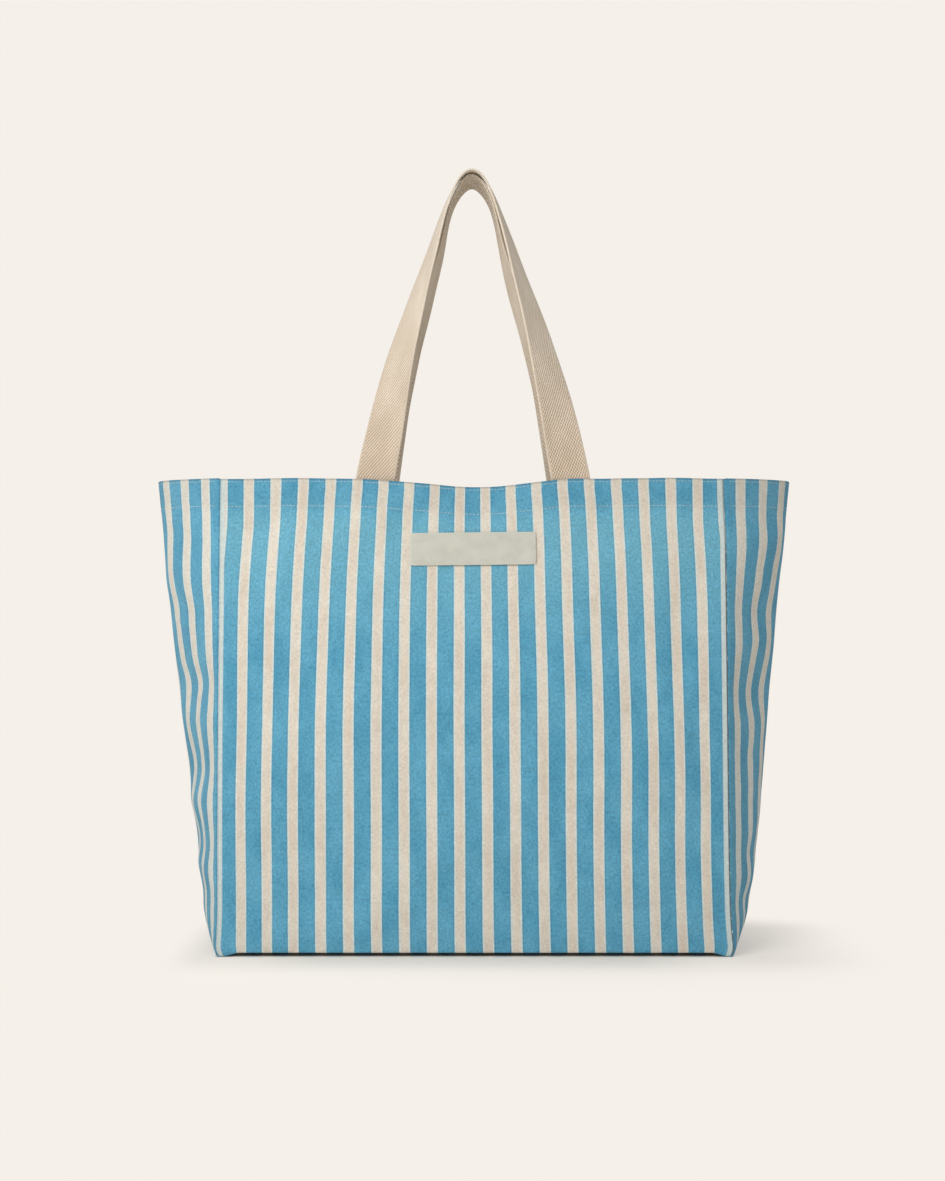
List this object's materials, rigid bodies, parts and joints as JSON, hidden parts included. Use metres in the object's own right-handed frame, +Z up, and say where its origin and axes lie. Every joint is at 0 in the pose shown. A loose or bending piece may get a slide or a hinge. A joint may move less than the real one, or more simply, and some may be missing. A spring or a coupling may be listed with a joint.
{
  "type": "canvas tote bag",
  "caption": "Large open tote bag of striped canvas with a flat base, fold-out gussets, a turned hem and twisted webbing handles that swing down over the rim.",
  "frame": {"origin": "middle of the base, on the surface that the bag stands on", "axes": "+Z up, X across the front, -Y out of the front panel, which carries the label"},
  "size_m": [0.6142, 0.176, 0.745],
  "materials": {
    "canvas": "plain-weave cotton canvas, woven stripes in sky blue and natural",
    "binding_tape": "natural cotton twill tape",
    "webbing": "natural cotton webbing, herringbone twill",
    "label": "bare woven cotton, off-white"
  },
  "bodies": {
    "bag": {"front_panel": "canvas", "back_panel": "canvas", "left_gusset": "canvas", "right_gusset": "canvas", "base_panel": "canvas", "base_binding": "binding_tape", "corner_binding_front_left": "binding_tape", "corner_binding_front_right": "binding_tape", "corner_binding_back_left": "binding_tape", "corner_binding_back_right": "binding_tape", "front_handle_left_end": "webbing", "front_handle_right_end": "webbing", "back_handle_left_end": "webbing", "back_handle_right_end": "webbing", "label": "label"},
    "front_handle_loop": {"front_handle": "webbing"},
    "back_handle_loop": {"back_handle": "webbing"}
  },
  "joints": [
    {"name": "front_handle_fold", "type": "hinge", "parent": "bag", "child": "front_handle_loop", "pos_m": [0, -0.05282, 0.4458], "axis": [1, 0, 0], "range_deg": [0, 170]},
    {"name": "back_handle_fold", "type": "hinge", "parent": "bag", "child": "back_handle_loop", "pos_m": [0, 0.05282, 0.4458], "axis": [-1, 0, 0], "range_deg": [0, 170]}
  ]
}
